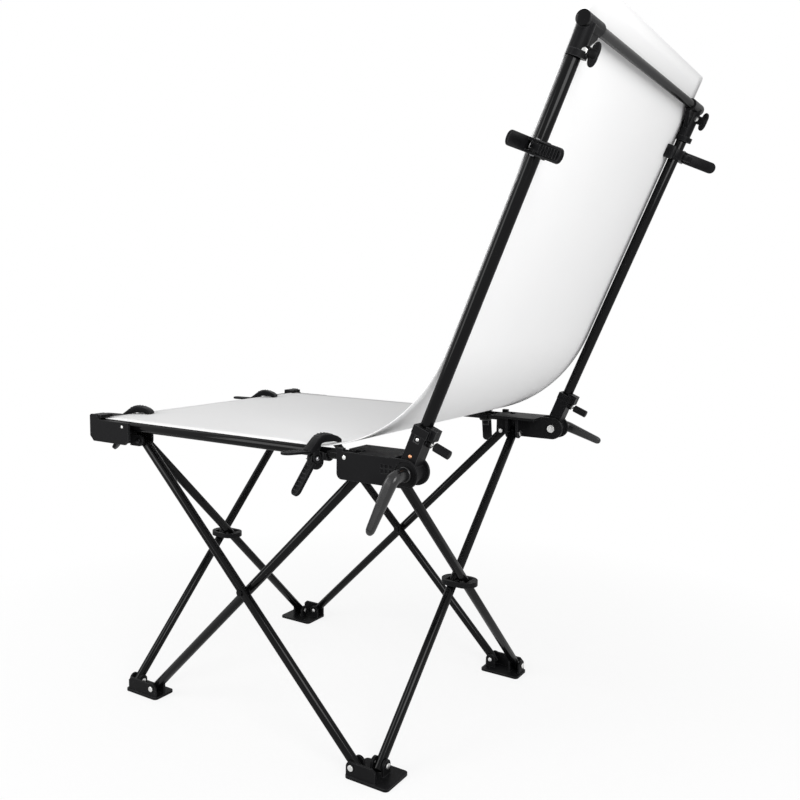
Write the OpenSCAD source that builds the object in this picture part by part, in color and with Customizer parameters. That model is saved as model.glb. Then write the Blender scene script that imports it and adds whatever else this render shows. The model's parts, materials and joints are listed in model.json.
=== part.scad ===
// Folding shooting table with a sweep sheet: four crossed leg pairs, corner blocks, rails,
// a tilting back with a crossbar, and spring clips that hold the sheet.
// Millimetres, +Z up, front at -Y, floor at z = 0, origin under the middle of the whole length.

/* [Sheet] */
// Width of the sweep sheet, which sets the width and depth of the frame
sheet_w = 600; // [570:5:640]
// Flat length of the sweep sheet
sheet_l = 1380; // [1345:5:1390]
// Thickness of the sweep sheet
sheet_t = 1.5; // [1:0.25:2]
// Radius of the bend between the table and the back
sweep_r = 285; // [240:5:310]

/* [Legs] */
// Height of the rail tops above the floor
table_h = 569; // [525:1:615]
// Outer diameter of the leg tubes
leg_d = 18; // [16:0.5:19]
// Wall of every tube
tube_wall = 1.5; // [1:0.25:2]
// Diameter of the pivot bolts
pivot_d = 6; // [5:0.5:6.5]
// Height of the leg pivots in the feet
foot_z = 21; // [20:1:30]

/* [Rails] */
// Outer diameter of the table rails
rail_d = 18; // [17:0.5:19]

/* [Back] */
// Outer diameter of the uprights
upright_d = 20; // [19:0.5:20.5]
// Outer diameter of the crossbar
bar_d = 15; // [13:0.5:16]
// Lean of the uprights away from vertical
tilt = 22.6; // [16:0.2:28]
// Distance from the tilt axis up to the crossbar
bar_up = 686; // [660:2:720]

/* [Clips] */
// Width of a spring clip
clip_w = 21; // [19:0.5:24]
// Turn of the rail clips away from square
clip_yaw = 20; // [0:1:22]

/* [Fits] */
// Radial clearance of a pin in its bore
run = 0.05; // [0.03:0.01:0.1]
// Space on each side of a tube between two cheeks
side_gap = 0.5; // [0.4:0.1:1]
// Space between the sheet and what it lies on
rest_gap = 0.3; // [0.2:0.1:0.5]

/* [Hidden] */
$fn = 48;
grow = 0.5;

bolt_bore = pivot_d + 2 * run;
cheek_t = 4.5;
wall_t = 4.5;
ear_r = 11;
deck_t = 5;
leg_end = 11;
tip_r = sqrt(leg_end * leg_end + leg_d * leg_d / 4);
cheek_off = leg_d / 2 + side_gap + cheek_t / 2;

holder_w = upright_d + 9;
chan = holder_w / 2 + side_gap;
tube_x = sheet_w / 2 - 3;
out_x = tube_x + chan;
in_x = tube_x - chan;
face_x = out_x + wall_t;
lug_t = chan - rail_d / 2 - side_gap;

side_step = leg_d + 2;
side_mid = tube_x - rail_d / 2 - side_step / 2 - leg_d / 2;
half = side_mid - 15;
end_step = leg_d + 6;
end_mid = half + end_step / 2 + leg_d / 2 + side_gap + cheek_t + tip_r + 6;
side_near = side_mid + side_step / 2;
side_far = side_mid - side_step / 2;
end_out = end_mid + end_step / 2;
end_in = end_mid - end_step / 2;

pivot_z = table_h - 36;
leg_rise = pivot_z - foot_z;
leg_len = sqrt(4 * half * half + leg_rise * leg_rise);
lean = atan(2 * half / leg_rise);
mid_z = (pivot_z + foot_z) / 2;

rail_z = table_h - rail_d / 2;
rail_y = half - 2;
rail_tail = 9;
rail_cheek = rail_d / 2 + side_gap + cheek_t / 2;
front_y = end_out + leg_d / 2 + 2 + cheek_t + side_gap + rail_d / 2;
front_x = half + 8;
saddle_z = rail_z - rail_d / 2 - rest_gap;
saddle_t = 5.7;
rail_stop = front_y - 12;
rail_bare = 20;
block_in = half - 18;
block_front = front_y + 24;
front_deep = 43;
web_y = half + 23;

hinge_y = half + 111.5;
ear_big = 23;
hinge_z = table_h - ear_big;
hinge_d = 8;
post_off = 5;
post_low = 16;
post_top = bar_up - 14;
ring_r = bar_d / 2 + 3;
sleeve_r = upright_d / 2 + run + 2.2;
joint_end = 14;
joint_in = 42;
sleeve_l = 46;
knob_up = bar_up - sleeve_l + 10;
knob_turn = 8;
left_slip = 17;
screw_up = 57;

clip_out = 13.5;
clip_drop = 7;
clip_pin_d = 4;
handle_l = 70;
handle_turn = 57;
handle_t = 2.5;
jaw_l = 62;
jaw_tip = 48;
jaw_root = 8;

sheet_z = table_h + rest_gap + sheet_t / 2;
sheet_front = front_y + (clip_out + rail_d / 2 - jaw_root) * cos(clip_yaw) - clip_w / 2 * sin(clip_yaw)
    - rest_gap;
sheet_off = post_off + max(ring_r, sleeve_r) + rest_gap + sheet_t / 2;
back_y0 = hinge_y - sheet_off * cos(tilt) + (sheet_z - hinge_z - sheet_off * sin(tilt)) * tan(tilt);
bend = 90 - tilt;
bend_y = back_y0 - sweep_r * tan(bend / 2);
back_run = sheet_l - sheet_front - bend_y - sweep_r * bend * PI / 180;

rail_grip = clip_drop + rail_d / 2 + rest_gap + sheet_t + rest_gap;
post_grip = clip_drop + sheet_off - post_off + sheet_t / 2 + rest_gap;
post_pad = post_grip - sheet_t - 2 * rest_gap;
side_clip_y = half - 54;
side_bend = max(0, side_clip_y + (jaw_tip - clip_out - rail_d / 2) * sin(clip_yaw) + clip_w / 2 - bend_y);
side_grip = rail_grip + sweep_r - sqrt(sweep_r * sweep_r - side_bend * side_bend);
front_clip_x = [half - 41, 74 - half];
post_clip_up = [515, 597];
recess = 2;
lever_out = 45;

rear_reach = hinge_y + (clip_drop - post_off + handle_l * sin(handle_turn) + handle_t * cos(handle_turn))
    * cos(tilt) + (post_clip_up[1] + clip_w / 2) * sin(tilt);
front_reach = front_y + (clip_out + rail_d / 2 + jaw_l) * cos(clip_yaw) + clip_w / 2 * sin(clip_yaw);
mid_y = (rear_reach - front_reach) / 2;

module placed() {
    translate([0, -mid_y, 0])
        children();
}

module box(a, b) {
    translate(a)
        cube(b - a);
}

module rod_x(x0, x1, d) {
    translate([x0, 0, 0])
        rotate([0, 90, 0])
            cylinder(d = d, h = x1 - x0);
}

module rod_y(y0, y1, d) {
    translate([0, y0, 0])
        rotate([-90, 0, 0])
            cylinder(d = d, h = y1 - y0);
}

module pipe_x(x0, x1, d) {
    difference() {
        rod_x(x0, x1, d);
        rod_x(x0 - 1, x1 + 1, d - 2 * tube_wall);
    }
}

module pipe_z(z0, z1, d) {
    translate([0, 0, z0])
        difference() {
            cylinder(d = d, h = z1 - z0);
            translate([0, 0, -1])
                cylinder(d = d - 2 * tube_wall, h = z1 - z0 + 2);
        }
}

// A flat plate from x0 to x1 whose outline is drawn in y and z.
module plate_x(x0, x1) {
    translate([x0, 0, 0])
        rotate([90, 0, 90])
            linear_extrude(x1 - x0)
                children();
}

// A flat plate from y0 to y1 whose outline is drawn in x and z.
module plate_y(y0, y1) {
    translate([0, y1, 0])
        rotate([90, 0, 0])
            linear_extrude(y1 - y0)
                children();
}

// Turns a part drawn around the tilt axis into the leaning back's place.
module on_back(side) {
    translate([side * tube_x, hinge_y, hinge_z])
        rotate([-tilt, 0, 0])
            children();
}

module bolt_x(x0, x1) {
    rod_x(x0, x1, pivot_d);
    rod_x(x1, x1 + 3, pivot_d + 5);
    rod_x(x0 - 3, x0, pivot_d + 3);
}

module bolt_y(y0, y1) {
    rotate([0, 0, 90])
        bolt_x(y0, y1);
}

// A stretch of the sweep's outline between two turns, run out straight by a length at each end.
module sweep_outline(from, to, lead, trail) {
    steps = 12;
    centre = [bend_y, sheet_z + sweep_r];
    turns = [for (i = [0:steps]) from + (to - from) * i / steps];
    under = [for (a = turns) centre + (sweep_r + sheet_t / 2) * [sin(a), -cos(a)]];
    over = [for (a = turns) centre + (sweep_r - sheet_t / 2) * [sin(a), -cos(a)]];
    before = lead * [cos(from), sin(from)];
    after = trail * [cos(to), sin(to)];
    polygon(concat(
        lead > 0 ? [under[0] - before] : [],
        under,
        trail > 0 ? [under[steps] + after, over[steps] + after] : [],
        [for (i = [0:steps]) over[steps - i]],
        lead > 0 ? [over[0] - before] : []));
}

// The part of the sheet that lies on the rails, up to the middle of the bend.
module sheet_table_half() {
    color("white")
        plate_x(-sheet_w / 2, sheet_w / 2)
            sweep_outline(0, bend / 2, sheet_front + bend_y, 0);
}

// The part of the sheet that runs on from the middle of the bend and up over the crossbar.
module sheet_back_half() {
    color("white")
        plate_x(-sheet_w / 2, sheet_w / 2)
            sweep_outline(bend / 2, bend, 0, back_run);
}

// One upright cheek of a clevis, with its pivot at the origin and the bore along x.
module cheek(z0, z1, y0, y1) {
    plate_x(-cheek_t / 2, cheek_t / 2)
        difference() {
            union() {
                circle(ear_r);
                translate([y0, z0])
                    square([y1 - y0, z1 - z0]);
            }
            circle(d = bolt_bore);
        }
}

// Two cheeks either side of a leg tube.
module clevis(z0, z1) {
    for (s = [-1, 1])
        translate([s * cheek_off, 0, 0])
            cheek(z0, z1, -ear_r, ear_r);
}

// A leg tube from its foot pivot at the origin, cross bores along x.
module leg(bores) {
    difference() {
        pipe_z(-leg_end, leg_len + leg_end, leg_d);
        for (z = bores)
            translate([-leg_d, 0, z])
                rod_x(0, 2 * leg_d, bolt_bore);
    }
}

module plain_leg() {
    color("dimgray")
        leg([0, leg_len / 2, leg_len]);
}

// A side leg with the rivet its partner turns on.
module riveted_leg() {
    head = 2.5;
    color("dimgray") {
        leg([0, leg_len]);
        translate([0, 0, leg_len / 2]) {
            rod_x(-leg_d / 2 - head, side_step + leg_d / 2 + rest_gap + grow, pivot_d);
            rod_x(-leg_d / 2 - head, 1 - leg_d / 2, 2 * pivot_d);
            rod_x(leg_d / 2 - 1, side_step - leg_d / 2 - rest_gap, 2 * pivot_d);
            rod_x(side_step + leg_d / 2 + rest_gap, side_step + leg_d / 2 + rest_gap + head, 2 * pivot_d);
        }
    }
}

module side_leg(x, foot_side) {
    translate([x, foot_side * half, foot_z])
        rotate([foot_side * lean, 0, 0])
            children();
}

module end_leg(y, foot_side) {
    translate([foot_side * half, y, foot_z])
        rotate([0, -foot_side * lean, 0])
            rotate([0, 0, 90])
                children();
}

module right_outer_leg() {
    side_leg(side_near, 1)
        plain_leg();
}

module right_inner_leg() {
    side_leg(side_far, -1)
        riveted_leg();
}

module left_inner_leg() {
    side_leg(-side_far, 1)
        plain_leg();
}

module left_outer_leg() {
    side_leg(-side_near, -1)
        riveted_leg();
}

module front_inner_leg() {
    end_leg(-end_in, -1)
        plain_leg();
}

module front_outer_leg() {
    end_leg(-end_out, 1)
        plain_leg();
}

module rear_outer_leg() {
    end_leg(end_out, -1)
        plain_leg();
}

module rear_inner_leg() {
    end_leg(end_in, 1)
        plain_leg();
}

// The figure-eight plate round a crossing, with the stud both legs turn on.
module leg_link(y) {
    thick = 10;
    slot_y = leg_d + 1.5;
    slot_x = leg_d / cos(lean) + thick * tan(lean) + 2;
    round_r = slot_x / 2 + 5.5;
    color("dimgray")
        translate([0, y, mid_z]) {
            difference() {
                translate([0, 0, -thick / 2])
                    linear_extrude(thick) {
                        for (s = [-1, 1])
                            translate([0, s * end_step / 2])
                                circle(round_r);
                        square([2 * round_r, end_step], center = true);
                    }
                for (s = [-1, 1])
                    translate([0, s * end_step / 2, 0])
                        cube([slot_x, slot_y, 2 * thick], center = true);
            }
            rod_y(-end_step / 2 - leg_d / 2 - 3, end_step / 2 + leg_d / 2 + 3, pivot_d);
        }
}

module front_leg_link() {
    leg_link(-end_mid);
}

module rear_leg_link() {
    leg_link(end_mid);
}

// A foot in the right rear quarter: flange, two clevises and the tall outer wall.
module foot(leg_x, leg_y) {
    flange = 5;
    x0 = half - 30;
    x1 = leg_x + cheek_off + cheek_t / 2 + 2;
    y0 = half - 14;
    y1 = end_mid + 28;
    corner = 8;
    slope = 6;
    wall_y = min(y1 - corner, leg_y + cheek_off + cheek_t / 2);
    wall_z = foot_z + ear_r * cos(30);
    color("dimgray") {
        linear_extrude(flange) {
            translate([x0 + corner, y0])
                square([x1 - x0 - 2 * corner, y1 - y0]);
            translate([x0, y0 + corner])
                square([x1 - x0, y1 - y0 - 2 * corner]);
            for (x = [x0 + corner, x1 - corner], y = [y0 + corner, y1 - corner])
                translate([x, y])
                    circle(corner);
        }
        translate([leg_x, half, foot_z])
            clevis(flange / 2 - foot_z, 0);
        translate([half, leg_y, foot_z])
            rotate([0, 0, 90])
                clevis(flange / 2 - foot_z, 0);
        plate_x(leg_x + cheek_off - cheek_t / 2, leg_x + cheek_off + cheek_t / 2)
            polygon([[half + ear_r / 2, flange / 2],
                [wall_y, flange / 2],
                [wall_y, wall_z - slope],
                [wall_y - slope, wall_z],
                [half + ear_r / 2, wall_z]]);
    }
}

module foot_bolts(leg_x, leg_y) {
    reach = cheek_off + cheek_t / 2;
    color("silver") {
        translate([leg_x, half, foot_z])
            bolt_x(-reach, reach);
        translate([half, leg_y, foot_z])
            bolt_y(-reach, reach);
    }
}

module front_right_foot() {
    mirror([0, 1, 0])
        foot(side_far, end_out);
}

module front_right_foot_bolts() {
    mirror([0, 1, 0])
        foot_bolts(side_far, end_out);
}

module rear_right_foot() {
    foot(side_near, end_in);
}

module rear_right_foot_bolts() {
    foot_bolts(side_near, end_in);
}

module front_left_foot() {
    rotate(180)
        foot(side_near, end_in);
}

module front_left_foot_bolts() {
    rotate(180)
        foot_bolts(side_near, end_in);
}

module rear_left_foot() {
    mirror([1, 0, 0])
        foot(side_far, end_out);
}

module rear_left_foot_bolts() {
    mirror([1, 0, 0])
        foot_bolts(side_far, end_out);
}

// The cheeks under a block's deck that hold one side leg and one end leg.
module block_clevises(leg_x, leg_y) {
    up = table_h - deck_t / 2 - pivot_z;
    outer = leg_x > side_mid;
    translate([leg_x - cheek_off, half, pivot_z])
        cheek(0, up, -ear_r, ear_r);
    translate([leg_x + cheek_off, half, pivot_z])
        if (outer)
            cheek(-ear_r, ear_r, 0, web_y - half + grow);
        else
            cheek(0, up, -ear_r, ear_r);
    translate([half, leg_y, pivot_z])
        rotate([0, 0, 90])
            clevis(0, up);
}

// The side outline of a rear block, ending in the round ear of the tilt joint.
module rear_outline(y0) {
    bottom = table_h - 2 * ear_big;
    round_r = 10;
    polygon([[y0, table_h],
        [y0, bottom + round_r],
        [y0 + round_r, bottom],
        [hinge_y, bottom],
        [hinge_y, hinge_z + ear_big]]);
    translate([y0 + round_r, bottom + round_r])
        circle(round_r);
    translate([hinge_y, hinge_z])
        circle(ear_big);
}

module rear_block(leg_x, leg_y) {
    roof_y = hinge_y - 24;
    pocket = 6;
    pitch = 8;
    grid_y = hinge_y - ear_big - pocket - 2 * pitch;
    difference() {
        union() {
            plate_x(out_x, face_x)
                rear_outline(block_in);
            plate_x(in_x - wall_t, in_x)
                rear_outline(web_y);
            box([block_in, half - 14, table_h - deck_t], [in_x + grow, roof_y, table_h]);
            box([in_x - wall_t, web_y - 4, table_h - deck_t], [face_x, roof_y, table_h]);
            box([in_x - wall_t - grow, web_y, hinge_z - ear_big], [out_x + grow, web_y + 4, table_h]);
            box([in_x - grow, rail_y - 12, rail_z - 10.5], [in_x + lug_t, rail_y + 14, table_h]);
            translate([0, rail_y, rail_z])
                rod_x(out_x - lug_t, out_x + grow, 16);
            box([out_x - lug_t + 1, block_in, table_h - deck_t], [face_x, block_in + 12, table_h + 5]);
            block_clevises(leg_x, leg_y);
        }
        translate([0, rail_y, rail_z])
            rod_x(in_x - wall_t - 1, face_x + 1, bolt_bore);
        translate([0, hinge_y, hinge_z])
            rod_x(in_x - wall_t - 1, face_x + 1, hinge_d + 2 * run);
        translate([0, hinge_y, hinge_z])
            rod_x(face_x - recess, face_x + 1, 2 * ear_big - 6);
        for (i = [0:2], j = [0:1])
            translate([face_x - recess, grid_y + pitch * i, hinge_z - 3 + pitch * j])
                cube([recess + grow, pocket, pocket]);
    }
}

// Bolts of one block: both leg pivots, the rail pivot and the tilt stud's nut.
module leg_bolts(leg_x, leg_y) {
    reach = cheek_off + cheek_t / 2;
    translate([leg_x, half, pivot_z])
        bolt_x(-reach, reach);
    translate([half, leg_y, pivot_z])
        bolt_y(-reach, reach);
}

module rear_pins(leg_x, leg_y) {
    nut = 3.4;
    head = 2;
    color("silver") {
        leg_bolts(leg_x, leg_y);
        translate([0, rail_y, rail_z]) {
            rod_x(in_x - grow - head, face_x, pivot_d);
            rod_x(in_x - grow - head, in_x - grow, pivot_d + 1);
            rod_x(face_x, face_x + head, pivot_d + 1);
        }
        translate([0, hinge_y, hinge_z])
            difference() {
                rod_x(in_x - wall_t - nut - 3, in_x - wall_t, 2 * hinge_d);
                rod_x(in_x - wall_t - nut, in_x, hinge_d + 2 * run);
            }
    }
}

module rear_right_block() {
    color("dimgray")
        rear_block(side_far, end_out);
}

module rear_right_pins() {
    rear_pins(side_far, end_out);
}

module rear_left_block() {
    color("dimgray")
        mirror([1, 0, 0])
            rear_block(side_near, end_in);
}

module rear_left_pins() {
    mirror([1, 0, 0])
        rear_pins(side_near, end_in);
}

// A front block, drawn with the front at +y: rail saddle, clevises, front wall and sheet lip.
module front_block(leg_x, leg_y) {
    bottom = table_h - front_deep;
    lip_y = sheet_front + 1;
    lip_low = sheet_z + sheet_t / 2 + 1.7;
    lip_top = table_h + 10;
    corner = 10;
    color("dimgray") {
        plate_x(out_x, face_x)
            polygon([[half + 2, table_h],
                [half + 2, bottom + corner],
                [half + 2 + corner, bottom],
                [block_front + wall_t - corner, bottom],
                [block_front + wall_t, bottom + corner],
                [block_front + wall_t, lip_top - 3],
                [block_front + wall_t - 3, lip_top],
                [lip_y, lip_top],
                [lip_y - corner, table_h]]);
        box([out_x - lug_t, web_y, bottom], [out_x + grow, block_front + grow, table_h]);
        box([in_x, web_y, bottom], [in_x + lug_t, block_front + grow, table_h]);
        box([in_x + grow, web_y, saddle_z - saddle_t], [out_x, block_front + grow, saddle_z]);
        box([in_x - wall_t, web_y, bottom], [out_x, web_y + 4, saddle_z]);
        box([block_in, half - 14, table_h - deck_t], [in_x + grow, leg_y + cheek_off + cheek_t / 2, table_h]);
        box([block_in, block_front, bottom + 6], [out_x + grow, block_front + wall_t, table_h]);
        box([in_x + 2, lip_y, table_h - deck_t], [out_x + grow, block_front + wall_t, lip_top - 1]);
        box([in_x + 2, lip_y - corner, lip_low], [out_x + grow, lip_y + grow, lip_top - 1]);
        block_clevises(leg_x, leg_y);
        children();
    }
}

// The two cheeks that the front rail turns in.
module front_rail_clevis() {
    for (s = [-1, 1])
        plate_y(front_y + s * rail_cheek - cheek_t / 2, front_y + s * rail_cheek + cheek_t / 2)
            difference() {
                translate([front_x - 14, rail_z - 20])
                    square([in_x + grow - front_x + 14, table_h - rail_z + 20]);
                translate([front_x, rail_z])
                    circle(d = bolt_bore);
            }
}

// The open cradle that the front rail's free end lies in.
module front_rail_saddle() {
    reach = rail_cheek + cheek_t / 2;
    box([block_in, front_y - reach, saddle_z - saddle_t], [in_x + grow, front_y + reach, saddle_z]);
    for (s = [-1, 1])
        plate_y(front_y + s * rail_cheek - cheek_t / 2, front_y + s * rail_cheek + cheek_t / 2)
            translate([block_in, saddle_z - saddle_t])
                square([in_x + grow - block_in, table_h - 5 - saddle_z + saddle_t]);
}

module front_right_block() {
    mirror([0, 1, 0])
        front_block(side_near, end_in)
            front_rail_clevis();
}

module front_left_block() {
    rotate(180)
        front_block(side_far, end_out)
            front_rail_saddle();
}

// Leg pivots of a front block and the small screw in its outer face.
module front_pins(leg_x, leg_y) {
    color("silver") {
        leg_bolts(leg_x, leg_y);
        translate([0, half + 18, table_h - 8])
            rod_x(face_x, face_x + 1.6, pivot_d);
        children();
    }
}

module front_right_pins() {
    reach = rail_cheek + cheek_t / 2;
    mirror([0, 1, 0])
        front_pins(side_near, end_in)
            translate([front_x, front_y, rail_z])
                bolt_y(-reach, reach);
}

module front_left_pins() {
    rotate(180)
        front_pins(side_far, end_out);
}

// A side rail, turning in the rear block and lying in the front block's saddle.
module side_rail(side) {
    color("dimgray")
        translate([side * tube_x, 0, rail_z])
            difference() {
                rotate([0, 0, 90])
                    pipe_x(-rail_stop, rail_y + rail_tail, rail_d);
                translate([0, rail_y, 0])
                    rod_x(-rail_d, rail_d, bolt_bore);
            }
}

module right_rail() {
    side_rail(1);
}

module left_rail() {
    side_rail(-1);
}

module front_rail() {
    color("dimgray")
        translate([0, -front_y, rail_z])
            difference() {
                pipe_x(rail_bare - in_x, front_x + rail_tail, rail_d);
                translate([front_x, 0, 0])
                    rod_y(-rail_d, rail_d, bolt_bore);
            }
}

// The channel that carries an upright, with the tilt knuckle at the origin.
module upright_holder() {
    wide = holder_w / 2;
    deep = wide - 1.5;
    top = 76;
    collar = 12;
    lug = 19;
    color("dimgray")
        difference() {
            union() {
                box([-wide, -post_off - deep, 10], [wide, deep - post_off, top]);
                rod_x(-wide, wide, 2 * deep + 8);
                box([-wide - 1.5, -post_off - deep - rest_gap, top - collar],
                    [wide + 1.5, deep - post_off + 2, top + 2]);
                box([-9, 0, top - collar], [9, lug, top + 6]);
                translate([0, 0, screw_up])
                    rod_y(0, lug - 4, 13);
            }
            translate([0, -post_off, post_low])
                cylinder(d = upright_d + 2 * run, h = top);
            box([-1, 0, top - collar - 1], [1, lug + 1, top + 7]);
            rod_x(-wide - 1, wide + 1, hinge_d + 2 * run);
            translate([0, 0, screw_up])
                rod_y(-post_off, lug, pivot_d + 2 * run);
        }
}

// Clamp screw of a holder, its tip just short of the upright.
module thumbscrew() {
    tip = upright_d / 2 - post_off + rest_gap;
    grip_y = 21;
    long = 28;
    translate([0, 0, screw_up])
        color("dimgray") {
            rod_y(tip, grip_y + 1, pivot_d);
            rod_y(grip_y, grip_y + long, 13);
            rod_y(grip_y + long - 4, grip_y + long, 14.5);
        }
}

module upright() {
    color("dimgray")
        translate([0, -post_off, 0])
            pipe_z(post_low, post_top, upright_d);
}

// Turns a part drawn behind the upright's axis inwards by the knob's turn.
module at_knob(side) {
    translate([0, -post_off, side > 0 ? knob_up : knob_up + left_slip])
        rotate(side * knob_turn)
            children();
}

// The sleeve on top of an upright with the ring the crossbar lies in.
module top_joint(side) {
    inner = -joint_in * side;
    end = joint_end * side;
    low = bar_up - sleeve_l - (side > 0 ? 0 : left_slip);
    web = bar_up - sleeve_l + 6;
    boss = 18;
    rim = 2.5;
    color("dimgray")
        difference() {
            union() {
                translate([0, -post_off, low])
                    cylinder(r = sleeve_r, h = bar_up - low);
                translate([0, rim + grow - post_off, low])
                    cylinder(r = sleeve_r + rim, h = 9);
                translate([0, -post_off, bar_up])
                    rod_x(min(inner, end), max(inner, end), 2 * ring_r);
                plate_y(-post_off - 4, 4 - post_off)
                    polygon([[inner, bar_up - 7], [0, bar_up - 7], [0, web], [-11 * side, web],
                        [inner, bar_up - 13]]);
                at_knob(side)
                    rod_y(0, boss, 15);
            }
            translate([0, -post_off, low - 1])
                cylinder(d = upright_d + 2 * run, h = post_top + 1 - low);
            translate([0, -post_off, bar_up])
                rod_x(-60, 60, bar_d + 2 * run);
            at_knob(side)
                rod_y(0, boss + 1, pivot_d + 2 * run);
        }
}

// Clamp screw of a top joint: shank, hub and two wing lobes.
module wing_knob(side) {
    hub = 18 + rest_gap;
    color("dimgray")
        at_knob(side) {
            rod_y(upright_d / 2 + rest_gap, hub + 2, pivot_d);
            rod_y(hub, hub + 12, 14);
            plate_x(-3, 3)
                translate([hub + 7, 0]) {
                    for (s = [-1, 1])
                        translate([0, 10 * s])
                            circle(7);
                    translate([-5, -10])
                        square([12, 20]);
                }
        }
}

module right_upright_holder() {
    on_back(1)
        upright_holder();
}

module left_upright_holder() {
    on_back(-1)
        upright_holder();
}

module right_thumbscrew() {
    on_back(1)
        thumbscrew();
}

module left_thumbscrew() {
    on_back(-1)
        thumbscrew();
}

module right_upright() {
    on_back(1)
        upright();
}

module left_upright() {
    on_back(-1)
        upright();
}

module right_top_joint() {
    on_back(1)
        top_joint(1);
}

module left_top_joint() {
    on_back(-1)
        top_joint(-1);
}

module right_wing_knob() {
    on_back(1)
        wing_knob(1);
}

module left_wing_knob() {
    on_back(-1)
        wing_knob(-1);
}

// The crossbar, a tube with a plugged stop on each end.
module crossbar() {
    stop = tube_x + joint_end + rest_gap;
    color("dimgray")
        on_back(0)
            translate([0, -post_off, bar_up]) {
                pipe_x(-stop, stop, bar_d);
                for (s = [0, 1])
                    mirror([s, 0, 0]) {
                        rod_x(stop, stop + 5, 2 * ring_r);
                        rod_x(stop - 12, stop + 1, bar_d - tube_wall);
                    }
            }
}

// A tilt lever: stud through the joint, hub outside the block and a cranked arm.
module tilt_lever(arm, length) {
    root = face_x - recess + rest_gap;
    tip = 7.5;
    color("dimgray")
        translate([0, hinge_y, hinge_z]) {
            rod_x(in_x - wall_t - 3, root + 1, hinge_d);
            rod_x(root, root + lever_out, 24);
            translate([root + lever_out - 9, 0, 0])
                rotate([arm, 0, 0])
                    rotate([0, 4, 0]) {
                        cylinder(r1 = 10.5, r2 = tip, h = length);
                        translate([0, 0, length])
                            sphere(tip);
                    }
        }
}

module right_tilt_lever() {
    tilt_lever(157.6, 93);
}

module left_tilt_lever() {
    mirror([1, 0, 0])
        tilt_lever(-110.8, 80);
}

// Fixed half of a spring clip, pin at the origin, jaw side at +x, sheet side at +z. A pad height
// above zero adds the claw that bears on the back of the sheet.
module clip_base(tube_d, yaw, pad_z = 0) {
    centre = clip_out + tube_d / 2;
    under = clip_drop - tube_d / 2 - 4.5;
    lug_in = 3.3;
    lug_out = 5.8;
    start = 10;
    pad_x = jaw_tip - 1;
    pad_w = clip_w / 2 + 2;
    arm_w = clip_w / 2 - 4;
    color("dimgray")
        difference() {
            union() {
                if (pad_z > 0) {
                    box([centre + tube_d / 2 + 2, -arm_w, clip_drop - 4], [pad_x + 1, arm_w, clip_drop]);
                    box([pad_x, -pad_w, clip_drop - 4], [pad_x + 9, pad_w, pad_z]);
                }
                rotate([90, 0, 0])
                    linear_extrude(clip_w, center = true)
                        polygon([[clip_out - 4, clip_drop + 3],
                            [clip_out - 4, under + 5],
                            [clip_out, under],
                            [centre + tube_d / 2, under],
                            [centre + tube_d / 2 + 4, under + 4],
                            [centre + tube_d / 2 + 4, clip_drop],
                            [centre, clip_drop],
                            [centre, clip_drop + 3]]);
                for (s = [-1, 1])
                    rotate([90, 0, 0])
                        translate([0, 0, s * (lug_in + lug_out) / 2])
                            linear_extrude(lug_out - lug_in, center = true) {
                                circle(7);
                                translate([0, -6])
                                    square([clip_out, 10]);
                                rotate(handle_turn)
                                    translate([-start - 4, -3])
                                        square([start + 4, 6]);
                            }
                rotate([0, -handle_turn, 0]) {
                    box([-handle_l, -clip_w / 2, -handle_t], [-start, clip_w / 2, 1]);
                    for (s = [-1, 1])
                        translate([0, s * (clip_w / 2 - 1), 0])
                            box([-handle_l, -1, -handle_t], [-start, 1, 4]);
                    box([-handle_l, -clip_w / 2, -handle_t], [2 - handle_l, clip_w / 2, 4]);
                }
            }
            translate([centre, 0, clip_drop])
                rotate([0, 0, -yaw])
                    rod_y(-60, 60, tube_d + 2 * run);
            rod_y(-clip_w, clip_w, clip_pin_d + 2 * run);
        }
}

// Moving half of a spring clip: ears on the pin, hooked jaw over the sheet and ribbed handle.
module clip_jaw(grip) {
    ear_in = 6.1;
    ribs = 9;
    color("dimgray")
        difference() {
            union() {
                rotate([90, 0, 0])
                    linear_extrude(clip_w, center = true) {
                        polygon([[-jaw_l, 9],
                            [-jaw_l, 13],
                            [-14, 15],
                            [2, grip + 11],
                            [10, grip + 15],
                            [32, grip + 14],
                            [jaw_tip - 2, grip + 7],
                            [jaw_tip, grip + 2],
                            [jaw_tip - 1, grip],
                            [jaw_tip - 8, grip],
                            [jaw_tip - 11, grip + 2.5],
                            [14, grip + 2.5],
                            [jaw_root, grip],
                            [4, 10],
                            [-14, 10]]);
                    }
                for (i = [1:ribs])
                    translate([4 * i - jaw_l, 0, 13])
                        cube([1.6, clip_w - 4, 2.4], center = true);
                for (s = [-1, 1])
                    rotate([90, 0, 0])
                        translate([0, 0, s * (ear_in + clip_w / 2) / 2])
                            linear_extrude(clip_w / 2 - ear_in, center = true) {
                                circle(8);
                                translate([-7, 0])
                                    square([12, 12]);
                            }
            }
            rod_y(-clip_w, clip_w, clip_pin_d + 2 * run);
        }
}

// Pin and torsion spring of a clip.
module clip_pin() {
    half_w = clip_w / 2 + rest_gap;
    color("silver") {
        rod_y(-half_w - 1, half_w + 1, clip_pin_d);
        rod_y(-3, 3, 11);
        for (s = [-1, 1])
            translate([0, s * (half_w + 0.75), 0])
                rod_y(-0.75, 0.75, clip_pin_d + 3);
    }
}

// Puts a clip's pin beside a rail; heading is the way the jaw points.
module at_rail(x, y, heading) {
    translate([x, y, rail_z])
        rotate(heading)
            translate([-clip_out - rail_d / 2, 0, -clip_drop])
                children();
}

module at_side_rail(side) {
    at_rail(side * tube_x, side_clip_y, side > 0 ? 180 - clip_yaw : clip_yaw)
        children();
}

module at_front_rail(i) {
    at_rail(front_clip_x[i], -front_y, 90 + clip_yaw)
        children();
}

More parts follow.
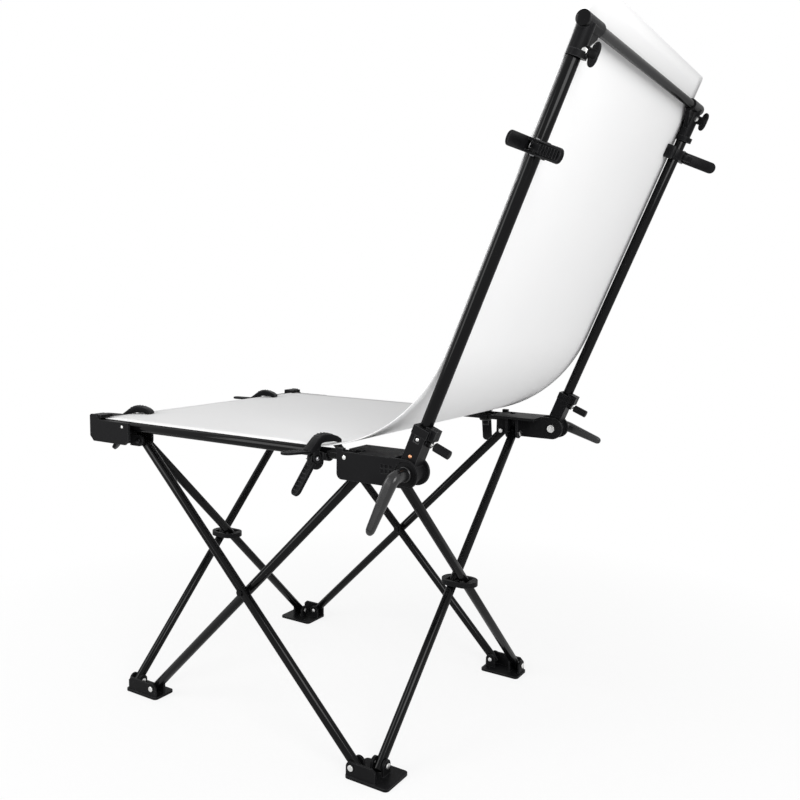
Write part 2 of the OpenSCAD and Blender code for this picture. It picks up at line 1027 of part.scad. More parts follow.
// Puts a clip's pin outside an upright with its jaw in front of the sheet.
module at_upright(side) {
    on_back(side)
        translate([side * (clip_out + upright_d / 2), clip_drop - post_off, post_clip_up[side > 0 ? 0 : 1]])
            rotate(side > 0 ? [-90, 0, 180] : [90, 0, 0])
                children();
}

module right_rail_clip() {
    at_side_rail(1)
        clip_base(rail_d, -clip_yaw);
}

module right_rail_clip_pin() {
    at_side_rail(1)
        clip_pin();
}

module right_rail_clip_jaw() {
    at_side_rail(1)
        clip_jaw(side_grip);
}

module left_rail_clip() {
    at_side_rail(-1)
        clip_base(rail_d, clip_yaw);
}

module left_rail_clip_pin() {
    at_side_rail(-1)
        clip_pin();
}

module left_rail_clip_jaw() {
    at_side_rail(-1)
        clip_jaw(side_grip);
}

module front_clips() {
    for (i = [0, 1])
        at_front_rail(i)
            clip_base(rail_d, clip_yaw);
}

module front_clip_pins() {
    for (i = [0, 1])
        at_front_rail(i)
            clip_pin();
}

module front_right_clip_jaw() {
    at_front_rail(0)
        clip_jaw(rail_grip);
}

module front_left_clip_jaw() {
    at_front_rail(1)
        clip_jaw(rail_grip);
}

module right_upright_clip() {
    at_upright(1)
        clip_base(upright_d, 0, post_pad);
}

module right_upright_clip_pin() {
    at_upright(1)
        clip_pin();
}

module right_upright_clip_jaw() {
    at_upright(1)
        clip_jaw(post_grip);
}

module left_upright_clip() {
    at_upright(-1)
        clip_base(upright_d, 0, post_pad);
}

module left_upright_clip_pin() {
    at_upright(-1)
        clip_pin();
}

module left_upright_clip_jaw() {
    at_upright(-1)
        clip_jaw(post_grip);
}

placed()
        sheet_table_half();
placed()
        sheet_back_half();
placed()
        rear_right_block();
placed()
        rear_right_pins();
placed()
        rear_left_block();
placed()
        rear_left_pins();
placed()
        front_right_block();
placed()
        front_right_pins();
placed()
        front_left_block();
placed()
        front_left_pins();
placed()
        right_rail();
placed()
        left_rail();
placed()
        front_rail();
placed()
        right_outer_leg();
placed()
        right_inner_leg();
placed()
        left_inner_leg();
placed()
        left_outer_leg();
placed()
        front_inner_leg();
placed()
        front_outer_leg();
placed()
        rear_outer_leg();
placed()
        rear_inner_leg();
placed()
        front_leg_link();
placed()
        rear_leg_link();
placed()
        front_right_foot();
placed()
        front_right_foot_bolts();
placed()
        rear_right_foot();
placed()
        rear_right_foot_bolts();
placed()
        front_left_foot();
placed()
        front_left_foot_bolts();
placed()
        rear_left_foot();
placed()
        rear_left_foot_bolts();
placed()
        right_upright_holder();
placed()
        left_upright_holder();
placed()
        right_tilt_lever();
placed()
        left_tilt_lever();
placed()
        right_thumbscrew();
placed()
        left_thumbscrew();
placed()
        right_upright();
placed()
        left_upright();
placed()
        right_top_joint();
placed()
        left_top_joint();
placed()
        right_wing_knob();
placed()
        left_wing_knob();
placed()
        crossbar();
placed()
        right_rail_clip();
placed()
        right_rail_clip_pin();
placed()
        right_rail_clip_jaw();
placed()
        left_rail_clip();
placed()
        left_rail_clip_pin();
placed()
        left_rail_clip_jaw();
placed()
        front_clips();
placed()
        front_clip_pins();
placed()
        front_right_clip_jaw();
placed()
        front_left_clip_jaw();
placed()
        right_upright_clip();
placed()
        right_upright_clip_pin();
placed()
        right_upright_clip_jaw();
placed()
        left_upright_clip();
placed()
        left_upright_clip_pin();
placed()
        left_upright_clip_jaw();
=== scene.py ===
import json
import math

import bmesh
import bpy
from mathutils import Matrix, Vector


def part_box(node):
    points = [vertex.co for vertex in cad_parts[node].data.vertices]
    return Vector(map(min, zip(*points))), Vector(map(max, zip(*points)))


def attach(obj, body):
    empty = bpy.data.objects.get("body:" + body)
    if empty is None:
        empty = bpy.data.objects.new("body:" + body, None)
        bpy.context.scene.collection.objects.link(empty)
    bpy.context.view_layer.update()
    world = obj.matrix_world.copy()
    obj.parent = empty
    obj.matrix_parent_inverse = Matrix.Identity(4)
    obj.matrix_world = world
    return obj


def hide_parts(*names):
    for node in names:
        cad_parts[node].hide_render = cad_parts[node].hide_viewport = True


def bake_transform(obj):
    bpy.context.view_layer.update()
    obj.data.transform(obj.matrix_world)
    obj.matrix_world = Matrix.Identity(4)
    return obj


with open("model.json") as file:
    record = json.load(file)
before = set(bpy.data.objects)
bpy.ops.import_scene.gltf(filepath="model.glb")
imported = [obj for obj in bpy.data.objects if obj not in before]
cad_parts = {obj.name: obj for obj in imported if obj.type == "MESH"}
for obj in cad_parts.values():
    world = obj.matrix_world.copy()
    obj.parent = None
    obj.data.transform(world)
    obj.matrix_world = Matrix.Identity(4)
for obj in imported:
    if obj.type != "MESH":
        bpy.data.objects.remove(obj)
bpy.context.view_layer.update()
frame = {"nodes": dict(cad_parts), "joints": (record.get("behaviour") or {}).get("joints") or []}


# Feet: four moulded black plastic shoes that stand on the floor. Each holds two leg tubes
# between cheeks, and its flange and sloping side wall are moulded in one with them.
class Wire:
    """A socket of a material's nodes; a sum made with it adds Math nodes."""

    def __init__(self, tree, socket=None):
        self.tree = tree
        self.socket = socket

    def make(self, kind, settings=None, sockets=None, out=0):
        """Adds a node, sets it up, fills or links its sockets and gives one output."""
        made = self.tree.nodes.new(kind)
        for key, value in (settings or {}).items():
            setattr(made, key, value)
        for key, value in (sockets or {}).items():
            if isinstance(value, Wire):
                self.tree.links.new(value.socket, made.inputs[key])
            else:
                made.inputs[key].default_value = value
        return Wire(self.tree, made.outputs[out])

    def into(self, socket):
        """Links this value to an input of another node."""
        self.tree.links.new(self.socket, socket)

    def math(self, operation, first, second):
        return self.make("ShaderNodeMath", {"operation": operation}, {0: first, 1: second})

    def __add__(self, other):
        return self.math("ADD", self, other)

    __radd__ = __add__

    def __sub__(self, other):
        return self.math("SUBTRACT", self, other)

    def __rsub__(self, other):
        return self.math("SUBTRACT", other, self)

    def __mul__(self, other):
        return self.math("MULTIPLY", self, other)

    __rmul__ = __mul__


def new_finish(name):
    """A material, the wire that adds its nodes, its shader and the place on the piece."""
    material = bpy.data.materials.new(name)
    material.use_nodes = True
    wire = Wire(material.node_tree)
    place = wire.make("ShaderNodeTexCoord", out="Object")
    return material, wire, material.node_tree.nodes["Principled BSDF"], place


def noise(wire, place, scale, detail, roughness=0.5):
    """Soft random patches, smaller with a larger scale."""
    return wire.make("ShaderNodeTexNoise", sockets={
        "Vector": place, "Scale": scale, "Detail": detail, "Roughness": roughness})


def ramp(wire, value, start, end, low, high):
    """Goes from low to high while a value goes from start to end."""
    return wire.make("ShaderNodeMapRange", sockets={
        "Value": value, "From Min": start, "From Max": end, "To Min": low, "To Max": high})


def colour_mix(wire, share, first, second):
    """Goes from one colour to another; a Mix node's sockets 6 and 7 hold its colours."""
    ends = [c if isinstance(c, Wire) else (*c, 1.0) for c in (first, second)]
    return wire.make("ShaderNodeMix", {"data_type": "RGBA"}, {0: share, 6: ends[0], 7: ends[1]}, out=2)


def relief(wire, shader, height, strength, depth):
    """Gives a surface a fine relief."""
    bump = wire.make("ShaderNodeBump", sockets={
        "Strength": strength, "Distance": depth, "Height": height}, out="Normal")
    bump.into(shader.inputs["Normal"])


def tinted(colour, factor):
    return tuple(c * factor for c in colour)


def moulded_plastic(name, dark, pale, sheen):
    """Spark-eroded black plastic: fine grain, cloudy gloss; edges paler from wear and a painted highlight."""
    material, wire, shader, place = new_finish(name)
    grain = noise(wire, place, scale=1500.0, detail=2.0, roughness=0.6)
    cloud = noise(wire, place, scale=30.0, detail=5.0, roughness=0.65)
    round_over = wire.make("ShaderNodeBevel", {"samples": 4}, {"Radius": 0.0012})
    square = wire.make("ShaderNodeNewGeometry", out="True Normal")
    turn_in = wire.make(
        "ShaderNodeVectorMath", {"operation": "DOT_PRODUCT"}, {0: round_over, 1: square}, out="Value")
    # The rounded edges are painted paler: partly wear, partly a painted highlight along them.
    wear_and_highlight = ramp(wire, turn_in, start=0.995, end=0.85, low=0.0, high=0.7) * (cloud * 1.2)
    tone = colour_mix(wire, cloud * 0.6 + grain * 0.4, tinted(dark, 0.7), tinted(dark, 1.4))
    colour_mix(wire, wear_and_highlight, tone, pale).into(shader.inputs["Base Color"])
    (sheen + (cloud - 0.5) * 0.22 - wear_and_highlight * 0.12).into(shader.inputs["Roughness"])
    relief(wire, shader, grain, strength=0.35, depth=0.0003)
    shader.inputs["Specular IOR Level"].default_value = 0.05
    return material


def creases(shape, least=1.0):
    """The edges whose two faces turn by more than an angle."""
    return [e for e in shape.edges if e.calc_face_angle(0.0) > least]


def round_edges(shape, edges, rounding, steps, clamp=False):
    """Rounds edges; with clamp they stop where two roundings would meet."""
    bmesh.ops.bevel(
        shape, geom=edges, offset=rounding, offset_type="OFFSET", affect="EDGES", segments=steps,
        profile=0.5, material=-1, clamp_overlap=clamp)


def rounded_copy(node, rounding, steps=3):
    """A merged copy of a node's mesh whose sharp edges are rounded."""
    weld, flat_turn, sharp_turn = 2e-5, math.radians(0.8), math.radians(34)
    shape = bmesh.new()
    shape.from_mesh(frame["nodes"][node].data)
    bmesh.ops.remove_doubles(shape, verts=shape.verts, dist=weld)
    bmesh.ops.dissolve_limit(shape, angle_limit=flat_turn, verts=shape.verts, edges=shape.edges)
    round_edges(shape, creases(shape, sharp_turn), rounding, steps, clamp=True)
    return shape


def set_piece(name, shape, finish, slot, body, *nodes, turn=38.0):
    """Makes a finished mesh a piece that rides on its body and stands for its nodes."""
    mesh = bpy.data.meshes.new(name)
    shape.to_mesh(mesh)
    shape.free()
    mesh.polygons.foreach_set("use_smooth", [True] * len(mesh.polygons))
    mesh.set_sharp_from_angle(angle=math.radians(turn))
    mesh.materials.append(finish)
    piece = bpy.data.objects.new(name, mesh)
    bpy.context.scene.collection.objects.link(piece)
    if body:
        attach(piece, body)
    if nodes:
        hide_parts(*nodes)
    return piece


def even_shading(piece):
    """Lets the big flat faces set the shading, so a rounded edge reads as an edge."""
    weigh = piece.modifiers.new("even_shading", "WEIGHTED_NORMAL")
    weigh.keep_sharp = True
    weigh.weight = 80


block_plastic = moulded_plastic(
    "block_plastic", dark=(0.0065, 0.0065, 0.007), pale=(0.09, 0.09, 0.093), sheen=0.46)
for corner in ("front_right", "rear_right", "front_left", "rear_left"):
    node = corner + "_foot"
    shoe = rounded_copy(node, rounding=0.001)
    even_shading(set_piece(node + "_shoe", shoe, block_plastic, "black_plastic", node, node))


# Legs: eight steel tubes with a satin black powder coat that cross in pairs. The side pairs
# turn on a rivet, and every tube is closed at both ends with a pressed-in plastic plug.
def powder_coat(name, colour, gloss):
    """Baked black coat: a faint orange peel, soft gloss and long scuffs from folding."""
    material, wire, shader, place = new_finish(name)
    peel = noise(wire, place, scale=520.0, detail=2.0)
    cloud = noise(wire, place, scale=14.0, detail=6.0, roughness=0.7)
    fleck = wire.make("ShaderNodeTexVoronoi", sockets={"Vector": place, "Scale": 230.0})
    scuff = ramp(wire, cloud * (1.2 - fleck), start=0.52, end=0.72, low=0.0, high=0.5)
    scuffed = tuple(c * 2.2 + 0.004 for c in colour)
    colour_mix(wire, scuff, colour, scuffed).into(shader.inputs["Base Color"])
    (gloss + (cloud - 0.5) * 0.2 + scuff * 0.25).into(shader.inputs["Roughness"])
    relief(wire, shader, peel, strength=0.12, depth=0.0004)
    shader.inputs["Specular IOR Level"].default_value = 0.01
    shader.inputs["Coat Weight"].default_value = 0.24
    shader.inputs["Coat Roughness"].default_value = 0.1
    return material


def turned(points, steps=24):
    """A solid of revolution about z from (radius, height) points."""
    shape = bmesh.new()
    line = [shape.verts.new((r, 0.0, z)) for r, z in points]
    edges = [shape.edges.new(pair) for pair in zip(line, line[1:])]
    bmesh.ops.spin(
        shape, geom=line + edges, cent=(0, 0, 0), axis=(0, 0, 1), angle=2 * math.pi, steps=steps,
        use_merge=True)
    bmesh.ops.remove_doubles(shape, verts=shape.verts, dist=1e-6)
    bmesh.ops.recalc_face_normals(shape, faces=shape.faces)
    return shape


def add(shape, other, matrix=Matrix.Identity(4)):
    """Moves another mesh to its place in this one and frees it."""
    bmesh.ops.transform(other, matrix=matrix, verts=other.verts)
    if matrix.determinant() < 0:
        bmesh.ops.reverse_faces(other, faces=other.faces)
    mesh = bpy.data.meshes.new("part")
    other.to_mesh(mesh)
    other.free()
    shape.from_mesh(mesh)
    bpy.data.meshes.remove(mesh)


def along(start, direction):
    """A matrix that puts z along a direction from a point."""
    return Matrix.Translation(start) @ Vector(direction).to_track_quat("Z", "Y").to_matrix().to_4x4()


def plug():
    """An end plug along z: a low dome on a collar that is pressed into the tube."""
    return turned([(0.0, 0.0012), (0.0045, 0.0011), (0.0072, 0.0006), (0.0082, -0.0002), (0.0082, -0.004),
                   (0.0, -0.004)])


tube_black = powder_coat("tube_black", colour=(0.002, 0.002, 0.0023), gloss=0.3)
plug_plastic = moulded_plastic(
    "plug_plastic", dark=(0.005, 0.005, 0.0055), pale=(0.035, 0.035, 0.037), sheen=0.46)
half_run, half_rise, past_pivot = 0.254, 0.256, 0.011
cross_y, cross_z = -0.118027, 0.277
side_x, side_apart, end_y, end_apart = 0.269, 0.010, 0.300213, 0.012
for node, x, y, to_right, to_back in (
    ("right_outer_leg", side_x + side_apart, 0.0, 0, -1),
    ("right_inner_leg", side_x - side_apart, 0.0, 0, 1),
    ("left_inner_leg", side_apart - side_x, 0.0, 0, -1),
    ("left_outer_leg", -side_x - side_apart, 0.0, 0, 1),
    ("front_inner_leg", 0.0, end_apart - end_y, 1, 0),
    ("front_outer_leg", 0.0, -end_y - end_apart, -1, 0),
    ("rear_inner_leg", 0.0, end_y - end_apart, -1, 0),
    ("rear_outer_leg", 0.0, end_y + end_apart, 1, 0),
):
    tube = rounded_copy(node, rounding=0.0005, steps=2)
    set_piece(node + "_tube", tube, tube_black, "black_tube", node, node)
    middle = Vector((x, cross_y + y, cross_z))
    to_pivot = Vector((to_right * half_run, to_back * half_run, half_rise))
    to_end = to_pivot + to_pivot.normalized() * past_pivot
    ends = bmesh.new()
    for end in (-to_end, to_end):
        add(ends, plug(), along(middle + end, end))
    set_piece(node + "_end_plugs", ends, plug_plastic, "black_plastic", node)


# Leg links: a moulded figure-eight plate round each end crossing. Both tubes pass through its
# slots and turn on one steel stud, so the pair opens like scissors.
for node in ("front_leg_link", "rear_leg_link"):
    plate = rounded_copy(node, rounding=0.0016)
    even_shading(set_piece(node + "_plate", plate, block_plastic, "black_plastic", node, node))


# Corner blocks: four large mouldings that carry the rails, the leg tops and, at the rear, the
# tilt ears. Ribs, lugs and the lips that stop the sheet are moulded in.
for node, body in (
    ("rear_right_block", "frame"), ("rear_left_block", "rear_left_block"),
    ("front_right_block", "front_right_block"), ("front_left_block", "front_left_block"),
):
    moulding = rounded_copy(node, rounding=0.0011)
    even_shading(set_piece(node + "_moulding", moulding, block_plastic, "black_plastic", body, node))


# Bolts and rivets: plated steel, pressed or screwed through the cheeks of the feet and blocks.
# Their heads are low and rounded; the bolts on the inner side of the front blocks are black.
def plated_steel(name, colour):
    """Dull plate on steel: bright metal with cloudy patches and fine turning marks."""
    material, wire, shader, place = new_finish(name)
    cloud = noise(wire, place, scale=160.0, detail=4.0, roughness=0.6)
    marks = noise(wire, place, scale=2600.0, detail=1.0)
    colour_mix(wire, cloud, tinted(colour, 0.72), colour).into(shader.inputs["Base Color"])
    (0.2 + cloud * 0.26).into(shader.inputs["Roughness"])
    relief(wire, shader, marks, strength=0.2, depth=0.0001)
    shader.inputs["Metallic"].default_value = 1.0
    return material


def nearest_x(face):
    """How near a face comes to the table's middle."""
    return min(abs(v.co.x) for v in face.verts)


zinc = plated_steel("zinc", colour=(0.74, 0.74, 0.73))
black_bolt = plated_steel("black_bolt", colour=(0.03, 0.03, 0.032))
hair = 0.0001
block_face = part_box("front_right_block")[1].x - hair
for node, body in (
    ("front_right_foot_bolts", "front_right_foot"), ("rear_right_foot_bolts", "rear_right_foot"),
    ("front_left_foot_bolts", "front_left_foot"), ("rear_left_foot_bolts", "rear_left_foot"),
    ("rear_right_pins", "frame"), ("rear_left_pins", "rear_left_block"),
    ("front_right_pins", "front_right_block"), ("front_left_pins", "front_left_block"),
):
    heads = rounded_copy(node, rounding=0.0009)
    if node.startswith("front") and node.endswith("pins"):
        bolts = heads.copy()
        outer = [f for f in bolts.faces if nearest_x(f) >= block_face]
        inner = [f for f in heads.faces if nearest_x(f) < block_face]
        bmesh.ops.delete(bolts, geom=outer, context="FACES")
        bmesh.ops.delete(heads, geom=inner, context="FACES")
        set_piece(node + "_bolts", bolts, black_bolt, "zinc_steel", body)
    set_piece(node + "_heads", heads, zinc, "zinc_steel", body, node)


# Table rails: three black-coated steel tubes, two along the sides and one across the front.
# Each turns on a pin in one block and drops into an open saddle in the next.
for node in ("right_rail", "left_rail", "front_rail"):
    tube = rounded_copy(node, rounding=0.0006, steps=2)
    set_piece(node + "_tube", tube, tube_black, "black_tube", node, node)


# Tilt levers: cranked handles moulded in satin dark grey round a steel stud. The hub sits in
# the round recess of the rear block, and the tapered arm has a long thumb groove.
def satin_lever(name, colour):
    """Satin moulding: a fine grain and a cloudy soft gloss."""
    material, wire, shader, place = new_finish(name)
    grain = noise(wire, place, scale=1100.0, detail=2.0)
    cloud = noise(wire, place, scale=45.0, detail=4.0)
    colour_mix(wire, cloud, tinted(colour, 0.8), tinted(colour, 1.25)).into(shader.inputs["Base Color"])
    (0.2 + cloud * 0.16).into(shader.inputs["Roughness"])
    relief(wire, shader, grain, strength=0.15, depth=0.0002)
    return material


def swept(rings, segments=32):
    """A skin over rings, each a matrix, two half widths and how far its flats are cut."""
    shape = bmesh.new()
    loops = []
    for matrix, wide, thick, flat in rings:
        made = bmesh.ops.create_circle(shape, cap_ends=False, segments=segments, radius=1.0)
        for v in made["verts"]:
            v.co = matrix @ Vector((wide * v.co.x, thick * max(-flat, min(flat, v.co.y)), 0.0))
        loops.append(list({e for v in made["verts"] for e in v.link_edges}))
    for first, second in zip(loops, loops[1:]):
        bmesh.ops.bridge_loops(shape, edges=first + second)
    for loop in (loops[0], loops[-1]):
        bmesh.ops.contextual_create(shape, geom=loop)
    bmesh.ops.recalc_face_normals(shape, faces=shape.faces)
    return shape


# Each ring of the hub is a distance along it and a radius. Each ring of the arm is a share of the
# arm's length, half its width and half its thickness.
hub_rings = ((0.0, 0.0112), (0.0006, 0.0122), (0.004, 0.0126), (0.0052, 0.0122), (0.006, 0.0113),
             (0.018, 0.0108))
arm_rings = ((0.25, 0.0103, 0.0092), (0.5, 0.0094, 0.0083), (0.75, 0.0085, 0.0075), (0.95, 0.0079, 0.007),
             (1.0, 0.0075, 0.0066), (1.04, 0.0062, 0.0054), (1.065, 0.0044, 0.0038), (1.078, 0.0022, 0.0019))


def crank(root, reach, arm, length):
    """The lever from its hub on the x axis, round the elbow and down the tapered arm."""
    splay, arm_flat, groove_from, groove_to = 0.07, 0.78, 0.42, 0.98
    bend_in, bend_out, bend_steps = 0.012, 0.014, 8
    bend_wide, bend_thick, bend_thinner = 0.0107, 0.0106, 0.001
    ahead = Vector((1.0, 0.0, 0.0))
    elbow = ahead * (root + reach)
    way = Matrix.Rotation(math.radians(arm), 3, "X") @ Vector((math.sin(splay), 0.0, math.cos(splay)))
    across = ahead.cross(way).normalized()
    out = way.cross(across).normalized()

    def ring(point, heading, wide, thick, flat=1.0):
        third = heading.cross(across)
        matrix = Matrix((across, third, heading)).transposed().to_4x4()
        matrix.translation = point
        return matrix, wide, thick, flat

    rings = [ring(ahead * (root + x), ahead, r, r) for x, r in hub_rings]
    first, last = elbow - ahead * bend_in, elbow + way * bend_out
    for i in range(bend_steps + 1):
        t = i / bend_steps
        point = first * (1 - t) ** 2 + elbow * (2 * t * (1 - t)) + last * t * t
        heading = ((elbow - first) * (1 - t) + (last - elbow) * t).normalized()
        thick, flat = bend_thick - bend_thinner * t, 1.0 - (1.0 - arm_flat) * t
        rings.append(ring(point, heading, bend_wide, thick, flat))
    for share, wide, thick in arm_rings:
        rings.append(ring(elbow + way * length * share, way, wide, thick, arm_flat))
    shape = swept(rings)
    shape.normal_update()
    groove = [f for f in shape.faces if f.normal.dot(out) > 0.9
              and groove_from < (f.calc_center_median() - elbow).dot(way) / length < groove_to]
    bmesh.ops.inset_region(shape, faces=groove, thickness=0.0009, depth=0.0, use_even_offset=True)
    bmesh.ops.inset_region(shape, faces=groove, thickness=0.0006, depth=-0.0011, use_even_offset=True)
    return shape


lever_grey = satin_lever("lever_grey", colour=(0.006, 0.006, 0.0065))
pivots = {j["name"]: Vector(j["pos_m"]) for j in frame["joints"] if "pos_m" in j}
lever_root, lever_reach = 0.3148, 0.036
for side, name, arm, length in ((1, "right", 157.6, 0.093), (-1, "left", -110.8, 0.080)):
    hinge = pivots[name + "_lever_turn"]
    handle = bmesh.new()
    add(handle, crank(lever_root, lever_reach, arm, length),
        Matrix.Translation((0.0, hinge.y, hinge.z)) @ Matrix.Diagonal((side, 1.0, 1.0, 1.0)))
    set_piece(name + "_tilt_handle", handle, lever_grey, "satin_lever", name + "_lever", name + "_tilt_lever")


# Upright holders: moulded channels that turn between the rear block's ears. A split collar
# clamps the tube, with one silver and one copper-coloured screw in the outer face.
def pan_head(radius, height, socket):
    """A screw's pan head along z with a round socket in it."""
    sunk, under = height * 0.35, -0.0004
    return turned([(0.0, sunk), (socket * 0.55, sunk), (socket * 0.6, height), (radius * 0.55, height * 0.97),
                   (radius * 0.85, height * 0.72), (radius, height * 0.2), (radius, under), (0.0, under)])


def only(kind, geom):
    """The vertices, edges or faces in a mixed list."""
    return [g for g in geom if isinstance(g, kind)]


def pocket(shape, place, half, depth):
    """Sinks a square of a flat face, given a place whose z is out of the face."""
    centre = place.translation
    back = place.inverted()
    out = place.col[2].to_3d()
    flat = [f for f in shape.faces if f.normal.dot(out) > 0.999
            and abs((back @ f.calc_center_median()).z) < 1e-4]
    for way in (place.col[0].to_3d(), place.col[1].to_3d()):
        for s in (-1, 1):
            geom = list({g for f in flat for g in (f, *f.edges, *f.verts)})
            cut = bmesh.ops.bisect_plane(
                shape, geom=geom, dist=1e-6, plane_co=centre + way * half * s, plane_no=way)
            flat = only(bmesh.types.BMFace, cut["geom"])
    bottom = [f for f in flat if max(abs(c) for c in (back @ f.calc_center_median()).to_2d()) < half]
    bmesh.ops.inset_region(shape, faces=bottom, thickness=0.0003, depth=0.0, use_even_offset=True)
    bmesh.ops.inset_region(shape, faces=bottom, thickness=0.0002, depth=-depth, use_even_offset=True)


holder_plastic = moulded_plastic(
    "holder_plastic", dark=(0.006, 0.006, 0.0065), pale=(0.11, 0.11, 0.114), sheen=0.38)
copper = plated_steel("copper_screw", colour=(0.72, 0.36, 0.2))
lean = math.radians(22.6)
tube_back, holder_half = 0.005, 0.0145
lower_up, upper_up, pocket_half, pocket_deep = 0.028, 0.0572, 0.0054, 0.0026
on_back = {side: Matrix.Translation(pivots[name]) @ Matrix.Rotation(-lean, 4, "X")
           for side, name in ((1, "back_tilt"), (-1, "left_back_tilt"))}
for side, name in ((1, "right"), (-1, "left")):
    node = name + "_upright_holder"
    outward = on_back[side] @ Matrix.Diagonal((side, 1.0, 1.0, 1.0))
    channel = rounded_copy(node, rounding=0.0009)
    face = Matrix(((0, 0, 1, holder_half), (1, 0, 0, -tube_back), (0, 1, 0, upper_up), (0, 0, 0, 1)))
    pocket(channel, outward @ face, pocket_half, pocket_deep)
    body = name + "_holder"
    even_shading(set_piece(node + "_channel", channel, holder_plastic, "black_plastic", body, node))
    for label, up, sunk, finish in (
        ("lower_screw", lower_up, 0.0, copper), ("upper_screw", upper_up, pocket_deep, zinc),
    ):
        screw = bmesh.new()
        add(screw, pan_head(radius=0.0033, height=0.0016, socket=0.0016),
            outward @ along((holder_half - sunk, -tube_back, up), (1.0, 0.0, 0.0)))
        set_piece(name + "_holder_" + label, screw, finish, "zinc_steel", body)


# Thumbscrews: a fluted black plastic barrel moulded on a threaded steel shank. They press on
# the upright and stop it from sliding in its holder.
def barrel(radius, start, end):
    """A fluted grip along z with rounded ends."""
    core_r = radius * 0.93
    shape = bmesh.new()
    bmesh.ops.create_cone(
        shape, cap_ends=True, segments=20, radius1=core_r, radius2=core_r, depth=end - start,
        matrix=Matrix.Translation((0.0, 0.0, (start + end) / 2)))
    sides = [f for f in shape.faces if abs(f.normal.z) < 0.5]
    bmesh.ops.inset_individual(shape, faces=sides, thickness=0.00035, depth=0.0)
    bmesh.ops.inset_individual(shape, faces=sides, thickness=0.0004, depth=0.0007)
    rims = [e for e in shape.edges if len(e.link_faces) == 2
            and any(abs(f.normal.z) > 0.9 for f in e.link_faces)]
    round_edges(shape, rims, rounding=0.0016, steps=3, clamp=True)
    return shape


def threaded():
    """A thumbscrew's shank along z: its thread and the collar under the grip."""
    root_r, crest_r, tip, first_crest, pitch, crests = 0.0024, 0.0029, 0.0053, 0.006, 0.0012, 12
    points = [(0.0, tip), (root_r, tip)]
    for i in range(crests):
        points += [(crest_r, first_crest + pitch * i), (root_r, first_crest + pitch * (i + 0.5))]
    return turned(points + [(0.0026, 0.0208), (0.0045, 0.0209), (0.0045, 0.0225), (0.0, 0.0225)], steps=20)


thumb_up = 0.057
for side, name in ((1, "right"), (-1, "left")):
    axis = on_back[side] @ along((0.0, 0.0, thumb_up), (0.0, 1.0, 0.0))
    grip = bmesh.new()
    add(grip, barrel(radius=0.0071, start=0.021, end=0.049), axis)
    node = name + "_thumbscrew"
    set_piece(name + "_thumb_grip", grip, plug_plastic, "black_plastic", node, node, turn=30.0)
    shank = bmesh.new()
    add(shank, threaded(), axis)
    set_piece(name + "_thumb_shank", shank, zinc, "zinc_steel", node)


# Uprights and crossbar: black-coated steel tubes. The uprights slide in the holders, and the
# thinner crossbar lies in the rings of the top joints with a plugged stop on each end.
for node, body in (
    ("right_upright", "right_upright"), ("left_upright", "left_upright"), ("crossbar", "right_upright"),
):
    set_piece(node + "_tube", rounded_copy(node, rounding=0.0007), tube_black, "black_tube", body, node)


# Top joints: moulded sleeves pressed on the uprights, with a ring for the crossbar, a gusset
# and a boss. A steel nut is let into the side of the boss.
def nut():
    """A hexagon nut along z with the rounded end of its screw."""
    corner_r, height = 0.0047, 0.0024
    shape = bmesh.new()
    bmesh.ops.create_cone(
        shape, cap_ends=True, segments=6, radius1=corner_r, radius2=corner_r, depth=height)
    round_edges(shape, shape.edges[:], rounding=0.0004, steps=2)
    add(shape, turned([(0.0, 0.0018), (0.0016, 0.0017), (0.0022, 0.001), (0.0022, 0.0), (0.0, 0.0)]))
    return shape


knob_up = {1: 0.65, -1: 0.667}
knob_turn = math.radians(8)
nut_place = (0.0072, 0.0125, 0.0)
at_knob = {side: on_back[side] @ Matrix.Translation((0.0, -tube_back, knob_up[side]))
           @ Matrix.Rotation(side * knob_turn, 4, "Z") for side in (1, -1)}
for side, name in ((1, "right"), (-1, "left")):
    node = name + "_top_joint"
    body = name + "_upright"
    sleeve = rounded_copy(node, rounding=0.001)
    even_shading(set_piece(node + "_sleeve", sleeve, holder_plastic, "black_plastic", body, node))
    joint_nut = bmesh.new()
    add(joint_nut, nut(), at_knob[side] @ along(nut_place, (1.0, 0.0, 0.0)))
    set_piece(name + "_joint_nut", joint_nut, zinc, "zinc_steel", body)


# Wing knobs: oval two-lobed grips moulded in black plastic round a steel screw, which clamps
# the top joint to its upright.
def pull(shape, faces, vec):
    """Pulls flat faces out into a solid."""
    made = bmesh.ops.extrude_face_region(shape, geom=faces)["geom"]
    bmesh.ops.translate(shape, vec=vec, verts=only(bmesh.types.BMVert, made))
    bmesh.ops.recalc_face_normals(shape, faces=shape.faces)


to_y = along((0.0, 0.0, 0.0), (0.0, 1.0, 0.0))


def wing():
    """An oval wing in the y-z plane, waisted and rounded, with its hub along y."""
    half_tall, waist, swell, out, thick = 0.0166, 0.0058, 0.0016, 0.0252, 0.0068
    shape = bmesh.new()
    bmesh.ops.create_circle(shape, cap_ends=True, segments=40, radius=1.0,
                            matrix=Matrix.Rotation(math.pi / 2, 4, "Y"))
    for v in shape.verts:
        v.co.y = v.co.y * (waist + swell * abs(v.co.z)) + out
        v.co.z *= half_tall
    pull(shape, shape.faces[:], (thick, 0.0, 0.0))
    bmesh.ops.translate(shape, vec=(-thick / 2, 0.0, 0.0), verts=shape.verts)
    round_edges(shape, creases(shape), rounding=0.0018, steps=4)
    caps = [f for f in shape.faces if abs(f.normal.x) > 0.99]
    bmesh.ops.inset_individual(shape, faces=caps, thickness=0.0012, depth=0.0)
    bmesh.ops.inset_individual(shape, faces=caps, thickness=0.0008, depth=-0.0007)
    add(shape, turned([(0.0, 0.0302), (0.0042, 0.0302), (0.0062, 0.0294), (0.0068, 0.0278), (0.0068, 0.0195),
                       (0.0062, 0.0184), (0.0, 0.0184)], steps=28), to_y)
    return shape


